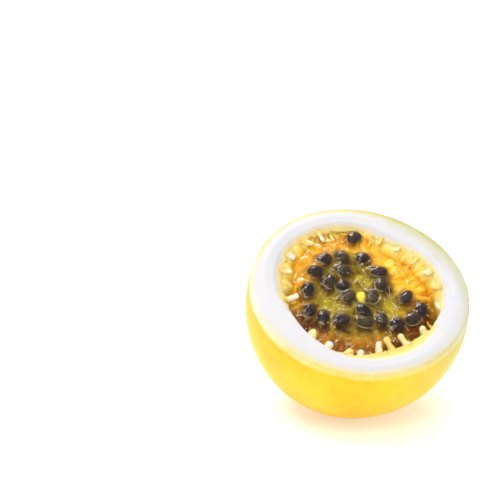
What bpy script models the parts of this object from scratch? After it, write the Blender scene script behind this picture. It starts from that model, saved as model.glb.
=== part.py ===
"""Half of a ripe yellow passion fruit, cut a little above its equator.

The piece lies on its rind with the cut face up and leaning forward. The rind is one solid of skin,
white pith, yellow lining and the stalks that grow from its inner wall. The pulp fills the hollow,
and each seed sits in its own open pocket of the pulp.

Row frame: metres, +Z up. The origin is the centre of the flat spot that the rind rests on, and the
cut face leans towards -Y. The fruit frame, used while modelling, has its origin at the middle of
the whole fruit and +Z along the cut face's normal.
"""

import math
import random

import bmesh
import bpy
from mathutils import Matrix, Vector

MM = 0.001

# The whole fruit and the cut
EQUATOR_RADIUS = 35.0 * MM
POLE_RADIUS = 36.2 * MM
CUT_HEIGHT = 8.8 * MM  # how far above the equator the knife passed
FACE_LEAN = math.radians(31.0)
REST_SPOT_RADIUS = 8.5 * MM

# Skin, pith and lining
WALL = 8.6 * MM
OUTER_EDGE_ROUND = 0.7 * MM
INNER_EDGE_WIDTH = 2.3 * MM  # the lining slopes away from the cut face over this width
INNER_EDGE_DEPTH = 2.5 * MM
RIDGES = ((48, 0.11), (190, 0.08), (286, 0.11))  # degrees, and how far each narrows the hollow
RIDGE_HALF_WIDTH = 60
SCAR_RADIUS = 1.7 * MM  # the dry button where the blossom was
SCAR_RISE = 0.6 * MM

# Pulp
GAP = 0.3 * MM  # between neighbouring solids
PULP_DROP = 3.3 * MM  # from the cut face down to the middle of the pulp
PULP_EDGE_DROP = 5.2 * MM  # and down to its edge, on average
PULP_SLOPE = 2.6 * MM  # how much higher that edge is at the back, and lower at the front
PULP_SWELL = 0.45 * MM  # height of the ripples on its surface
PULP_RIPPLE = (2.9 * MM, 3.3 * MM)  # their spacing across and along

# Stalks that carried the seeds, left standing on the inner wall at these angles in degrees
STALK_ANGLES = (
    0, 14, 28, 44, 60, 108, 122, 139, 154, 167, 182, 198, 221, 234, 247, 259, 273, 284, 297, 314,
    340,
)  # fmt: skip
STALK_LEVEL = (0.4, 0.62)  # least and most share of the way up from the pulp to the cut face
STALK_RISE = 22  # most degrees that one points up, and to either side
STALK_LENGTH = 5.2 * MM
STALK_RADIUS = 1.15 * MM
STALK_ROOT = 1.6 * MM  # how far a stalk reaches back into the lining
STALK_TAPER = 0.12
STALK_BEND = 0.6 * MM

# Seeds: flattened drops, each with its distance from the axis in mm and its angle in degrees
SEED_LENGTH = 5.2 * MM
SEED_WIDTH = 3.9 * MM
SEED_THICKNESS = 2.6 * MM
SEED_POINT = 0.26  # how much slimmer the pointed end is
SEED_SWING = 50  # most degrees that a seed turns away from lying along its ring
SEED_TILT = 20
SEED_ROLL = 16
SEED_SHOW = 0.1  # share of its thickness that a seed's middle stands above the pulp
SEED_SPOTS = (
    (3.6, 189), (4.2, 338), (5.8, 141), (6.2, 272), (8.4, 20), (9.9, 147), (9.8, 110),
    (10.6, 267), (11.2, 43), (11.2, 297), (11.8, 231), (14.2, 73), (14.4, 101), (14.9, 351),
    (14.9, 210), (15.5, 309), (15.6, 141), (16.2, 171), (16.2, 121), (17.2, 195), (18.4, 325),
    (20.0, 340), (22.2, 82),
)  # fmt: skip

TURN_STEPS = 60
PULP_RINGS = 11

YELLOW_SKIN = (0.93, 0.66, 0.06, 1.0)
AMBER_PULP = (0.62, 0.34, 0.02, 1.0)
BLACK_SEED = (0.03, 0.025, 0.015, 1.0)


def clear_scene():
    for old in list(bpy.data.objects):
        bpy.data.objects.remove(old)


def make_material(name, color, roughness):
    material = bpy.data.materials.new(name)
    material.use_nodes = True
    shader = material.node_tree.nodes["Principled BSDF"]
    shader.inputs["Base Color"].default_value = color
    shader.inputs["Roughness"].default_value = roughness
    shader.inputs["Metallic"].default_value = 0.0
    return material


def make_object(name, mesh, collection, parent=None, material=None):
    made = bpy.data.objects.new(name, mesh)
    collection.objects.link(made)
    made.parent = parent
    if material:
        mesh.materials.append(material)
    return made


def mark_as_cutter(cutter):
    cutter.hide_render = True
    cutter.display_type = "WIRE"


def add_boolean(target, name, operation, cutters):
    """Joins or cuts target with one object or with every object of a collection."""
    modifier = target.modifiers.new(name, "BOOLEAN")
    modifier.operation = operation
    if isinstance(cutters, bpy.types.Collection):
        modifier.operand_type = "COLLECTION"
        modifier.collection = cutters
    else:
        modifier.object = cutters


def smoothstep(start, end, value):
    share = min(1.0, max(0.0, (value - start) / (end - start)))
    return share * share * (3 - 2 * share)


def round_share(radius, height, angle):
    """What a point's turned radius is multiplied by, at its angle.

    The fruit grew from three carpels: its outline is very slightly three-sided, and three soft
    ridges of lining, which carried the seeds, narrow the hollow.
    """
    outline = 1.0 + 0.007 * math.cos(3 * angle + 0.6) + 0.006 * math.cos(2 * angle - 0.5)
    depth = math.hypot(radius / EQUATOR_RADIUS, height / POLE_RADIUS)
    inside = 1.0 - smoothstep(0.73, 0.81, depth)
    narrowing = 0.0
    for degrees, share in RIDGES:
        off = abs((math.degrees(angle) - degrees + 180) % 360 - 180)
        if off < RIDGE_HALF_WIDTH:
            swell = 0.5 + 0.5 * math.cos(math.pi * off / RIDGE_HALF_WIDTH)
            narrowing += share * swell**1.5
    return outline * (1.0 - narrowing * inside)


def quarter_round(corner, width, depth, start_deg, end_deg, steps):
    """Points (radius, height) round an edge, from one side of its corner to the other."""
    points = []
    for i in range(steps + 1):
        turn = math.radians(start_deg + (end_deg - start_deg) * i / steps)
        points.append((corner[0] + width * math.cos(turn), corner[1] + depth * math.sin(turn)))
    return points


def spheroid_profile(radius, pole, top, steps):
    """Points (radius, height) of a spheroid from its lower pole up to the height top."""
    last = math.asin(top / pole)
    points = []
    for i in range(steps + 1):
        turn = -math.pi / 2 + (last + math.pi / 2) * i / steps
        points.append((radius * math.cos(turn), pole * math.sin(turn)))
    points[0] = (0.0, -pole)
    return points


def turned_mesh(name, profile, steps):
    """A closed turned mesh from a profile that starts and ends on the axis."""
    outline = bpy.data.meshes.new(name + "_outline")
    points = [(radius, 0.0, height) for radius, height in profile]
    outline.from_pydata(points, [(i, i + 1) for i in range(len(points) - 1)], [])
    blank = bpy.data.objects.new(name + "_blank", outline)
    bpy.context.scene.collection.objects.link(blank)
    screw = blank.modifiers.new("turn", "SCREW")
    screw.steps = steps
    screw.render_steps = steps
    screw.use_merge_vertices = True
    screw.merge_threshold = 0.00001
    graph = bpy.context.evaluated_depsgraph_get()
    mesh = bpy.data.meshes.new_from_object(blank.evaluated_get(graph))
    bpy.data.objects.remove(blank)
    shape = bmesh.new()
    shape.from_mesh(mesh)
    bmesh.ops.remove_doubles(shape, verts=shape.verts, dist=0.00001)
    bmesh.ops.recalc_face_normals(shape, faces=shape.faces)
    for vertex in shape.verts:
        radius = math.hypot(vertex.co.x, vertex.co.y)
        share = round_share(radius, vertex.co.z, math.atan2(vertex.co.y, vertex.co.x))
        vertex.co.x *= share
        vertex.co.y *= share
    shape.to_mesh(mesh)
    shape.free()
    mesh.shade_smooth()
    mesh.name = name
    return mesh


def rind_profile():
    """Around the cut rind: up the inner wall to the cut face, across it and down the skin."""
    hollow_top = CUT_HEIGHT - INNER_EDGE_DEPTH
    skin_top = CUT_HEIGHT - OUTER_EDGE_ROUND
    inner = spheroid_profile(EQUATOR_RADIUS - WALL, POLE_RADIUS - WALL, hollow_top, 14)
    outer = spheroid_profile(EQUATOR_RADIUS, POLE_RADIUS, skin_top, 17)
    inner_corner = (inner[-1][0] + INNER_EDGE_WIDTH, hollow_top)
    outer_corner = (outer[-1][0] - OUTER_EDGE_ROUND, skin_top)
    lining = quarter_round(inner_corner, INNER_EDGE_WIDTH, INNER_EDGE_DEPTH, 180, 90, 5)
    edge = quarter_round(outer_corner, OUTER_EDGE_ROUND, OUTER_EDGE_ROUND, 90, 0, 3)
    return inner[:-1] + lining + edge + outer[-2::-1]


def pulp_height(x, y):
    """The pulp's uneven wet surface, lower towards the wall, as a height over the fruit's middle."""
    reach = EQUATOR_RADIUS - WALL
    out = math.hypot(x, y) / reach
    drop = PULP_DROP + (PULP_EDGE_DROP - PULP_DROP) * out**4 - PULP_SLOPE * y / reach
    ripple = math.sin(x / PULP_RIPPLE[0] + 0.4) * math.cos(y / PULP_RIPPLE[1] - 0.9)
    return CUT_HEIGHT - drop + PULP_SWELL * ripple * (1 - out**4)


def pulp_mesh():
    """A turned body: out over the uneven surface, then down the wall of the hollow."""
    radius = EQUATOR_RADIUS - WALL - GAP
    pole = POLE_RADIUS - WALL - GAP
    wall = spheroid_profile(radius, pole, CUT_HEIGHT - PULP_EDGE_DROP, 11)[::-1]
    edge, edge_height = wall[0]
    flat_height = edge_height + GAP
    surface = [(edge * i / PULP_RINGS, flat_height) for i in range(PULP_RINGS)]
    mesh = turned_mesh("pulp", surface + wall, TURN_STEPS)
    for vertex in mesh.vertices:
        if vertex.co.z > edge_height - GAP / 2:
            height = pulp_height(vertex.co.x, vertex.co.y)
            fit = radius * math.sqrt(1 - (height / pole) ** 2) / edge
            vertex.co = (vertex.co.x * fit, vertex.co.y * fit, height)
    return mesh


def seed_mesh(name, grow=0.0):
    """A flattened drop along X with a blunter point at +X, made larger all round by grow."""
    shape = bmesh.new()
    bmesh.ops.create_uvsphere(shape, u_segments=10, v_segments=7, radius=1.0)
    shape.transform(Matrix.Rotation(math.pi / 2, 4, "Y"))
    for vertex in shape.verts:
        along = vertex.co.x
        slim = 1.0 - SEED_POINT * max(0.0, along) ** 2
        vertex.co.x = along * (SEED_LENGTH / 2 + grow)
        vertex.co.y *= slim * (SEED_WIDTH / 2 + grow)
        vertex.co.z *= slim * (SEED_THICKNESS / 2 + grow)
    mesh = bpy.data.meshes.new(name)
    shape.to_mesh(mesh)
    shape.free()
    mesh.shade_smooth()
    return mesh


def seed_places():
    """Where each seed lies in the fruit frame, its broad side up and a little tilted."""
    places = []
    chance = random.Random(164)
    for out, degrees in SEED_SPOTS:
        x = out * MM * math.cos(math.radians(degrees))
        y = out * MM * math.sin(math.radians(degrees))
        spin = math.radians(degrees + 90 + chance.uniform(-SEED_SWING, SEED_SWING))
        tilt = math.radians(chance.uniform(-SEED_TILT, SEED_TILT))
        roll = math.radians(chance.uniform(-SEED_ROLL, SEED_ROLL))
        places.append(
            Matrix.Translation((x, y, pulp_height(x, y) + SEED_SHOW * SEED_THICKNESS))
            @ Matrix.Rotation(spin, 4, "Z")
            @ Matrix.Rotation(tilt, 4, "Y")
            @ Matrix.Rotation(roll, 4, "X")
        )
    return places


def stalk_mesh(name, grow=0.0):
    """A blunt, slightly bent finger along +X from its root at the origin, larger by grow."""
    shape = bmesh.new()
    bmesh.ops.create_uvsphere(shape, u_segments=8, v_segments=8, radius=1.0)
    shape.transform(Matrix.Rotation(math.pi / 2, 4, "Y"))
    reach = (STALK_LENGTH + STALK_ROOT) / 2
    for vertex in shape.verts:
        along = vertex.co.x
        blunt = math.sqrt((1 + along**2) * (1 + along**4)) * (1 - STALK_TAPER * along)
        vertex.co.x = along * (reach + grow) + reach - STALK_ROOT
        vertex.co.y *= blunt * (STALK_RADIUS + grow)
        vertex.co.z *= blunt * (STALK_RADIUS + grow)
        vertex.co.z += STALK_BEND * along**2
    mesh = bpy.data.meshes.new(name)
    shape.to_mesh(mesh)
    shape.free()
    mesh.shade_smooth()
    return mesh


def stalk_places():
    """Stalks round the inner wall, between the pulp and the cut face, pointing in and up a little."""
    places = []
    chance = random.Random(5)
    inner_radius = EQUATOR_RADIUS - WALL
    inner_pole = POLE_RADIUS - WALL
    for degrees in STALK_ANGLES:
        angle = math.radians(degrees)
        low = pulp_height(inner_radius * math.cos(angle), inner_radius * math.sin(angle))
        height = low + (CUT_HEIGHT - low) * chance.uniform(*STALK_LEVEL)
        radius = inner_radius * math.sqrt(1 - (height / inner_pole) ** 2)
        radius *= round_share(radius, height, angle)
        room = max(0.0, CUT_HEIGHT - height - STALK_RADIUS)
        rise = min(math.radians(chance.uniform(0, STALK_RISE)), math.asin(room / STALK_LENGTH))
        swing = math.radians(chance.uniform(-STALK_RISE, STALK_RISE))
        places.append(
            Matrix.Rotation(angle, 4, "Z")
            @ Matrix.Translation((radius, 0, height))
            @ Matrix.Rotation(math.pi + swing, 4, "Z")
            @ Matrix.Rotation(-rise, 4, "Y")
        )
    return places


def keep_clear_of_seeds(stalks, seeds):
    """Only the stalks whose whole length stays away from every seed."""
    clearance = 0.42 * SEED_LENGTH + STALK_RADIUS + GAP
    kept = []
    for place in stalks:
        along = [place @ Vector((STALK_LENGTH * i / 3, 0, 0)) for i in range(4)]
        near = min((point - seed.translation).length for seed in seeds for point in along)
        if near > clearance:
            kept.append(place)
    return kept


def scar_mesh():
    """The small dry button at the fruit's lower pole."""
    shape = bmesh.new()
    bmesh.ops.create_uvsphere(shape, u_segments=12, v_segments=8, radius=1.0)
    for vertex in shape.verts:
        vertex.co.x *= SCAR_RADIUS
        vertex.co.y *= SCAR_RADIUS
        vertex.co.z = vertex.co.z * 2 * SCAR_RISE - POLE_RADIUS + SCAR_RISE
    mesh = bpy.data.meshes.new("blossom_scar")
    shape.to_mesh(mesh)
    shape.free()
    return mesh


def floor_cutter(collection):
    """A block whose top face is the floor that the fruit rests on."""
    size = 4 * EQUATOR_RADIUS
    shape = bmesh.new()
    bmesh.ops.create_cube(shape, size=size)
    bmesh.ops.translate(shape, verts=shape.verts, vec=(0, 0, -size / 2))
    mesh = bpy.data.meshes.new("floor_cutter")
    shape.to_mesh(mesh)
    shape.free()
    cutter = make_object("floor_cutter", mesh, collection)
    mark_as_cutter(cutter)
    return cutter


def make_fruit_frame(collection):
    """An empty at the fruit's middle, leaning as the fruit does, over the centre of its flat spot."""
    sine = math.sin(FACE_LEAN)
    cosine = math.cos(FACE_LEAN)
    support = math.hypot(EQUATOR_RADIUS * sine, POLE_RADIUS * cosine)
    share = math.sqrt(1 - (REST_SPOT_RADIUS / EQUATOR_RADIUS) ** 2)
    lowest_y = (POLE_RADIUS**2 - EQUATOR_RADIUS**2) * sine * cosine / support
    frame = bpy.data.objects.new("fruit_frame", None)
    collection.objects.link(frame)
    frame.location = (0, -lowest_y * share, support * share)
    frame.rotation_euler = (FACE_LEAN, 0, 0)
    return frame


def make_rind(fruit, frame, cutters, joined, material, stalks):
    body = turned_mesh("rind", rind_profile(), TURN_STEPS)
    rind = make_object("rind", body, fruit, frame, material)
    mesh = stalk_mesh("stalk")
    for number, place in enumerate(stalks, 1):
        stalk = make_object(f"stalk_{number:02d}", mesh, joined, frame)
        stalk.matrix_local = place
        mark_as_cutter(stalk)
    mark_as_cutter(make_object("blossom_scar", scar_mesh(), joined, frame))
    add_boolean(rind, "stalks_and_scar", "UNION", joined)
    add_boolean(rind, "flat_spot", "DIFFERENCE", floor_cutter(cutters))
    return rind


def make_pulp(fruit, frame, pockets, material, seeds, stalks):
    pulp = make_object("pulp", pulp_mesh(), fruit, frame, material)
    for name, mesh, places in (
        ("seed_pocket", seed_mesh("seed_pocket", GAP), seeds),
        ("stalk_pocket", stalk_mesh("stalk_pocket", GAP), stalks),
    ):
        for number, place in enumerate(places, 1):
            pocket = make_object(f"{name}_{number:02d}", mesh, pockets, frame)
            pocket.matrix_local = place
            mark_as_cutter(pocket)
    add_boolean(pulp, "pockets", "DIFFERENCE", pockets)
    return pulp


def make_seeds(fruit, frame, material, seeds):
    mesh = seed_mesh("seed")
    mesh.materials.append(material)
    for number, place in enumerate(seeds, 1):
        seed = make_object(f"seed_{number:02d}", mesh, fruit, frame)
        seed.matrix_local = place


def new_collection(name, hidden=False):
    collection = bpy.data.collections.new(name)
    bpy.context.scene.collection.children.link(collection)
    collection.hide_render = hidden
    return collection


def main():
    clear_scene()
    fruit = new_collection("passion_fruit_half")
    joined = new_collection("joined_to_rind", hidden=True)
    pockets = new_collection("pulp_pockets", hidden=True)
    cutters = new_collection("cutters", hidden=True)
    frame = make_fruit_frame(fruit)
    seeds = seed_places()
    stalks = keep_clear_of_seeds(stalk_places(), seeds)
    skin = make_material("skin", YELLOW_SKIN, 0.45)
    make_rind(fruit, frame, cutters, joined, skin, stalks)
    make_pulp(fruit, frame, pockets, make_material("pulp", AMBER_PULP, 0.12), seeds, stalks)
    make_seeds(fruit, frame, make_material("seed", BLACK_SEED, 0.25), seeds)


main()
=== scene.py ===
import math
import random

import bmesh
import bpy
from mathutils import Matrix, Vector, noise


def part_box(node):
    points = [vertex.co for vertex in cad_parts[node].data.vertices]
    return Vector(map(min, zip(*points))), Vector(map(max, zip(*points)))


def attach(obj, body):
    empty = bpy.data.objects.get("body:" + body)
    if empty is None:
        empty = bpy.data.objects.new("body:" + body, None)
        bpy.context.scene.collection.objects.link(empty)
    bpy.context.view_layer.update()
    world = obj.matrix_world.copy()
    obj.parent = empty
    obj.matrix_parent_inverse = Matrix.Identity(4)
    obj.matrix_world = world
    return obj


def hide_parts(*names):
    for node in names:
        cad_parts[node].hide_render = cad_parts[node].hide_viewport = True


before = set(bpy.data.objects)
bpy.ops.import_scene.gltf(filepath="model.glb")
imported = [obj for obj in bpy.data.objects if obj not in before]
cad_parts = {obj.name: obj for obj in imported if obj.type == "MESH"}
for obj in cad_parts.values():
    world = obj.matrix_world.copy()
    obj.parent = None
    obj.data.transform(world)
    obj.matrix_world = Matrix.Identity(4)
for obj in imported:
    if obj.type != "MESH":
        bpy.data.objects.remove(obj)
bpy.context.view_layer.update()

mm = 0.001

# The fruit frame has its origin at the middle of the whole fruit and +Z along the cut face's normal.
fruit = {
    "equatorRadius": 35.0 * mm,
    "poleRadius": 36.2 * mm,
    "cutHeight": 8.8 * mm,
    "lean": math.radians(31),
    "restSpotRadius": 8.5 * mm,
    "wall": 8.6 * mm,
    "lobes": ((3, 0.007, 0.6), (2, 0.006, -0.5)),  # how many, how far each swells the outline, turn
    "ridgeDepth": (0.73, 0.81),  # share of the way out over which the ridges end
    "ridges": ((48, 0.11), (190, 0.08), (286, 0.11)),  # degrees, and how far each narrows the hollow
    "ridgeHalfWidth": 60,
    "pulpDrop": 3.3 * mm,  # cut face to the middle of the pulp
    "pulpEdgeDrop": 5.2 * mm,
    "pulpSlope": 2.6 * mm,  # the pulp's edge is this much higher at the back, lower at the front
    "pulpSwell": 0.45 * mm,
    "pulpRipple": (2.9 * mm, 3.3 * mm),
}

scene = bpy.context.scene
scene.view_settings.view_transform = "Standard"


def fruitPlace():
    sine, cosine = math.sin(fruit["lean"]), math.cos(fruit["lean"])
    equator, pole = fruit["equatorRadius"], fruit["poleRadius"]
    support = math.hypot(equator * sine, pole * cosine)
    share = math.sqrt(1 - (fruit["restSpotRadius"] / equator) ** 2)
    back = (pole**2 - equator**2) * sine * cosine / support
    shift = Matrix.Translation((0, -back * share, support * share))
    return shift @ Matrix.Rotation(fruit["lean"], 4, "X")


fruitToRow = fruitPlace()
hollowReach = fruit["equatorRadius"] - fruit["wall"]
hollowPole = fruit["poleRadius"] - fruit["wall"]
pulpEdge = fruit["cutHeight"] - fruit["pulpEdgeDrop"]  # the height where the pulp meets the wall, on average


def smoothStep(start, end, value):
    share = min(1.0, max(0.0, (value - start) / (end - start)))
    return share * share * (3 - 2 * share)


def roundShare(radius, height, angle):  # slightly three-sided outside, three ridges inside
    outline = 1.0
    for count, swell, turn in fruit["lobes"]:
        outline += swell * math.cos(count * angle + turn)
    depth = math.hypot(radius / fruit["equatorRadius"], height / fruit["poleRadius"])
    inside = 1.0 - smoothStep(*fruit["ridgeDepth"], depth)
    narrowing = 0.0
    for degrees, share in fruit["ridges"]:
        off = abs((math.degrees(angle) - degrees + 180) % 360 - 180)
        if off < fruit["ridgeHalfWidth"]:
            narrowing += share * (0.5 + 0.5 * math.cos(math.pi * off / fruit["ridgeHalfWidth"])) ** 1.5
    return outline * (1.0 - narrowing * inside)


def hollowRadius(height, angle):
    radius = hollowReach * math.sqrt(1 - (height / hollowPole) ** 2)
    return radius * roundShare(radius, height, angle)


def pulpHeight(x, y):
    out = math.hypot(x, y) / hollowReach
    drop = fruit["pulpDrop"] + (fruit["pulpEdgeDrop"] - fruit["pulpDrop"]) * out**4
    drop -= fruit["pulpSlope"] * y / hollowReach
    ripple = math.sin(x / fruit["pulpRipple"][0] + 0.4) * math.cos(y / fruit["pulpRipple"][1] - 0.9)
    return fruit["cutHeight"] - drop + fruit["pulpSwell"] * ripple * (1 - out**4)


def roundTable(stops, angle):  # a smooth closed curve through (degrees, value) stops
    degrees = math.degrees(angle) % 360
    ordered = sorted(stops)
    before = [stop for stop in ordered if stop[0] <= degrees] or [(ordered[-1][0] - 360, ordered[-1][1])]
    after = [stop for stop in ordered if stop[0] > degrees] or [(ordered[0][0] + 360, ordered[0][1])]
    low, high = before[-1], after[0]
    return low[1] + (high[1] - low[1]) * smoothStep(low[0], high[0], degrees)


def ripple(x, y, scale, layer):  # smooth noise over the cut face, a new pattern for each layer
    return noise.noise(Vector((x * scale, y * scale, layer)))


def makeObject(name, data, material=None):
    piece = bpy.data.objects.new(name, data)
    scene.collection.objects.link(piece)
    if material:
        data.materials.append(material)
    return piece


def closeShell(shape, first, rows, last):  # faces from one pole over the rows to the other, pointing out
    steps = len(rows[0])
    for upper, lower in zip(rows, rows[1:]):
        for i in range(steps):
            j = (i + 1) % steps
            shape.faces.new((upper[i], lower[i], lower[j], upper[j]))
    for i in range(steps):
        j = (i + 1) % steps
        shape.faces.new((first, rows[0][i], rows[0][j]))
        shape.faces.new((last, rows[-1][j], rows[-1][i]))
    shape.normal_update()
    if shape.calc_volume(signed=True) < 0:
        bmesh.ops.reverse_faces(shape, faces=shape.faces)
        shape.normal_update()


def bakeShape(shape, name):
    mesh = bpy.data.meshes.new(name)
    shape.to_mesh(mesh)
    shape.free()
    return mesh


def newPaths(name):
    curve = bpy.data.curves.new(name, "CURVE")
    curve.dimensions = "3D"
    return curve


def newPath(curve, count):
    spline = curve.splines.new("POLY")
    spline.points.add(count - 1)
    return spline.points


def plainMesh(piece, name):  # the evaluated object as a mesh, its modifiers dropped
    graph = bpy.context.evaluated_depsgraph_get()
    graph.update()
    mesh = bpy.data.meshes.new_from_object(piece.evaluated_get(graph))
    mesh.name = name
    for modifier in list(piece.modifiers):
        piece.modifiers.remove(modifier)
    return mesh


def setAttribute(mesh, name, values):
    layer = mesh.attributes.get(name) or mesh.attributes.new(name, "FLOAT", "POINT")
    layer.data.foreach_set("value", values)


def newMaterial(name):
    material = bpy.data.materials.new(name)
    material.use_nodes = True
    tree = material.node_tree
    return material, tree, tree.nodes["Principled BSDF"]


def setInputs(node, **values):  # a label's blanks are written as underscores
    for label, value in values.items():
        node.inputs[label.replace("_", " ")].default_value = value


def addRamp(tree, value, *stops):
    node = tree.nodes.new("ShaderNodeValToRGB")
    elements = node.color_ramp.elements
    while len(elements) < len(stops):
        elements.new(0.5)
    for element, (position, color) in zip(elements, stops):
        element.position = position
        element.color = (*color, 1.0) if isinstance(color, tuple) else (color, color, color, 1.0)
    tree.links.new(value, node.inputs["Fac"])
    return node.outputs["Color"]


def addMath(tree, operation, first, second=None, third=None):
    node = tree.nodes.new("ShaderNodeMath")
    node.operation = operation
    for socket, value in zip(node.inputs, (first, second, third)):
        if value is None:
            continue
        if isinstance(value, (int, float)):
            socket.default_value = value
        else:
            tree.links.new(value, socket)
    return node.outputs[0]


def addMix(tree, factor, first, second, blend="MIX"):
    node = tree.nodes.new("ShaderNodeMix")
    node.data_type = "RGBA"
    node.blend_type = blend
    for socket, value in ((node.inputs[0], factor), (node.inputs[6], first), (node.inputs[7], second)):
        if isinstance(value, (int, float)):
            socket.default_value = value
        elif isinstance(value, tuple):
            socket.default_value = (*value, 1.0)
        else:
            tree.links.new(value, socket)
    return node.outputs[2]


def addNoise(tree, vector, scale, detail=2.0, roughness=0.5, distortion=0.0):
    node = tree.nodes.new("ShaderNodeTexNoise")
    setInputs(node, Scale=scale, Detail=detail, Roughness=roughness, Distortion=distortion)
    tree.links.new(vector, node.inputs["Vector"])
    return node.outputs["Fac"]


def addAttribute(tree, name):
    node = tree.nodes.new("ShaderNodeAttribute")
    node.attribute_name = name
    return node.outputs["Fac"]


def addSubsurface(shader, weight, radius):  # radius in metres for red, green and blue
    setInputs(shader, Subsurface_Weight=weight, Subsurface_Radius=radius, Subsurface_Scale=1.0)


def objectCoordinates(tree):
    return tree.nodes.new("ShaderNodeTexCoord").outputs["Object"]


def newGroup(name, inputs, output):
    tree = bpy.data.node_groups.new(name, "ShaderNodeTree")
    tree.interface.new_socket("Vector", in_out="INPUT", socket_type="NodeSocketVector")
    for label, value in inputs:
        tree.interface.new_socket(label, in_out="INPUT", socket_type="NodeSocketFloat").default_value = value
    tree.interface.new_socket(output, in_out="OUTPUT", socket_type="NodeSocketFloat")
    return tree, tree.nodes.new("NodeGroupInput"), tree.nodes.new("NodeGroupOutput")


def grainGroup():  # fine uneven surface of wet or waxy tissue
    settings = (("Scale", 900.0), ("Detail", 3.0), ("Pitting", 0.3))
    tree, given, result = newGroup("fineGrain", settings, "Height")
    grain = tree.nodes.new("ShaderNodeTexNoise")
    pits = tree.nodes.new("ShaderNodeTexVoronoi")
    for node in (grain, pits):
        tree.links.new(given.outputs["Vector"], node.inputs["Vector"])
        tree.links.new(given.outputs["Scale"], node.inputs["Scale"])
    tree.links.new(given.outputs["Detail"], grain.inputs["Detail"])
    depth = addMath(tree, "MULTIPLY", pits.outputs["Distance"], given.outputs["Pitting"])
    height = addMath(tree, "ADD", grain.outputs["Fac"], depth)
    tree.links.new(height, result.inputs["Height"])
    return tree


def speckGroup():  # 1 on small round dots, 0 between them
    tree, given, result = newGroup("specks", (("Scale", 400.0), ("Size", 0.25), ("Share", 0.5)), "Mask")
    dots = tree.nodes.new("ShaderNodeTexVoronoi")
    tree.links.new(given.outputs["Vector"], dots.inputs["Vector"])
    tree.links.new(given.outputs["Scale"], dots.inputs["Scale"])
    dot = tree.nodes.new("ShaderNodeMapRange")
    dot.interpolation_type = "SMOOTHSTEP"
    tree.links.new(dots.outputs["Distance"], dot.inputs["Value"])
    tree.links.new(given.outputs["Size"], dot.inputs["From Min"])
    dot.inputs["From Max"].default_value = 0.0
    kept = addMath(tree, "LESS_THAN", dots.outputs["Color"], given.outputs["Share"])
    tree.links.new(addMath(tree, "MULTIPLY", dot.outputs["Result"], kept), result.inputs["Mask"])
    return tree


fineGrain = grainGroup()
specks = speckGroup()


def addGroup(tree, group, vector, **values):
    node = tree.nodes.new("ShaderNodeGroup")
    node.node_tree = group
    tree.links.new(vector, node.inputs["Vector"])
    setInputs(node, **values)
    return node.outputs[0]


def addBump(tree, shader, height, strength, distance):
    node = tree.nodes.new("ShaderNodeBump")
    setInputs(node, Strength=strength, Distance=distance)
    tree.links.new(height, node.inputs["Height"])
    tree.links.new(node.outputs["Normal"], shader.inputs["Normal"])


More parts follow.
